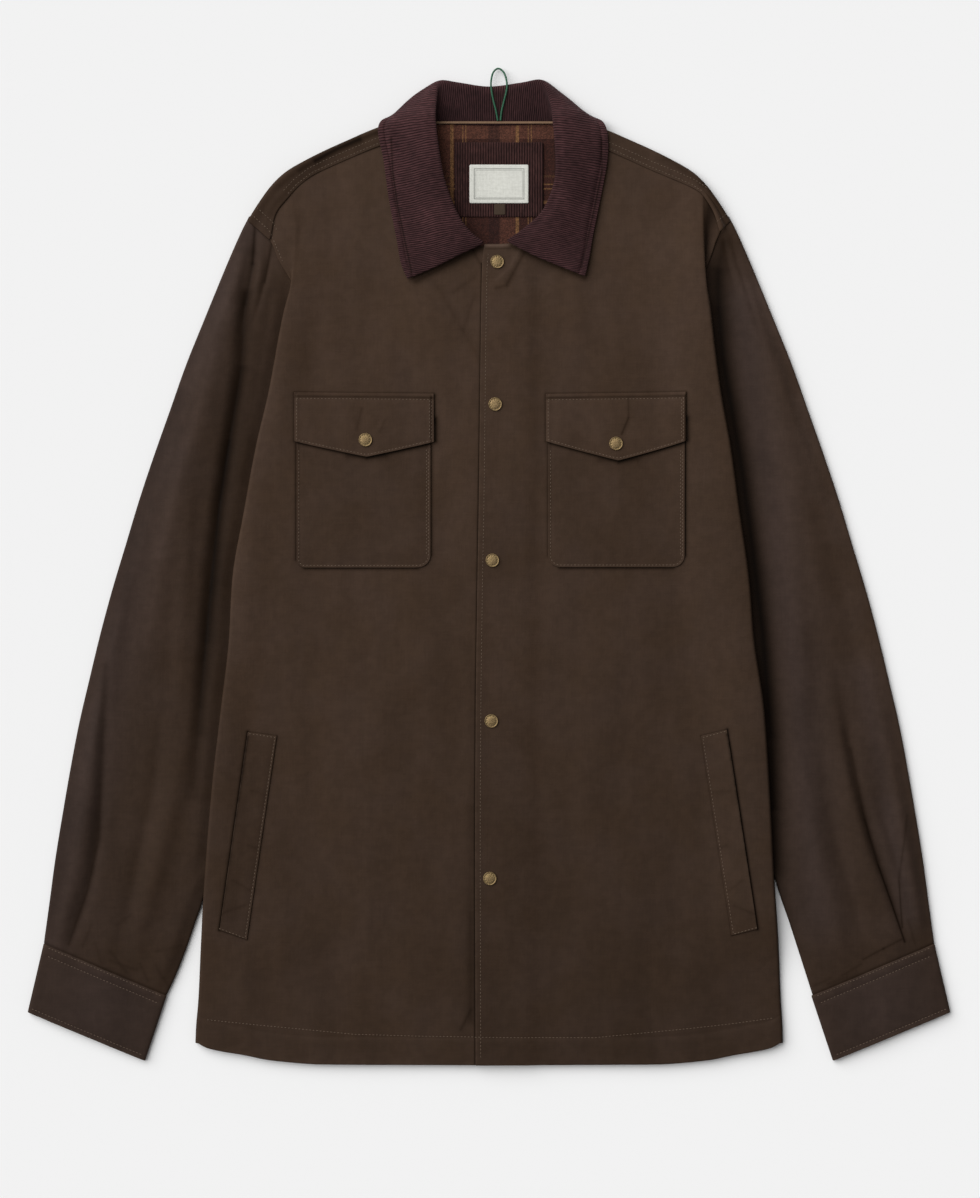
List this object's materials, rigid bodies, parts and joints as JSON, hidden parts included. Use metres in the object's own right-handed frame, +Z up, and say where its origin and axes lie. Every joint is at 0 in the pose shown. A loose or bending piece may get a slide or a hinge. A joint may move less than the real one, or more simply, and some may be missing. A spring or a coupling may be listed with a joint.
{
  "type": "waxed cotton jacket",
  "caption": "Waxed cotton overshirt jacket with a corduroy collar, snap front, flap chest pockets and welt side pockets, fastened and laid flat on its back.",
  "frame": {"origin": "middle of the laid jacket's outline, on the surface that it rests on", "axes": "+X to the right of the front as it is looked at, which is the wearer's left; +Y from the hem to the collar; +Z up, off the surface"},
  "size_m": [0.7844, 0.8482, 0.0162],
  "materials": {
    "waxed_cotton": "dark brown waxed cotton, dry and slightly greasy",
    "corduroy": "needlecord, dark aubergine brown",
    "plaid_lining": "brushed cotton plaid in rust and brown with ochre lines",
    "label_cloth": "off-white woven label",
    "tab_cloth": "olive brown woven tab",
    "tape": "tan twill tape",
    "cord": "dark green cord",
    "snap_brass": "antique brass, worn bright on the rim"
  },
  "bodies": {
    "root": {"back": "waxed_cotton", "yoke": "waxed_cotton", "front_left": "waxed_cotton", "front_right": "waxed_cotton", "sleeve_left": "waxed_cotton", "sleeve_right": "waxed_cotton", "cuff_left": "waxed_cotton", "cuff_right": "waxed_cotton", "pocket_left": "waxed_cotton", "pocket_right": "waxed_cotton", "flap_left": "waxed_cotton", "flap_right": "waxed_cotton", "welt_left": "waxed_cotton", "welt_right": "waxed_cotton", "collar": "corduroy", "neck_patch": "corduroy", "neck_lining": "plaid_lining", "label": "label_cloth", "size_tab": "tab_cloth", "neck_tape": "tape", "hanging_loop": "cord", "snap_1": "snap_brass", "snap_2": "snap_brass", "snap_3": "snap_brass", "snap_4": "snap_brass", "snap_5": "snap_brass", "pocket_snap_left": "snap_brass", "pocket_snap_right": "snap_brass"}
  },
  "joints": []
}
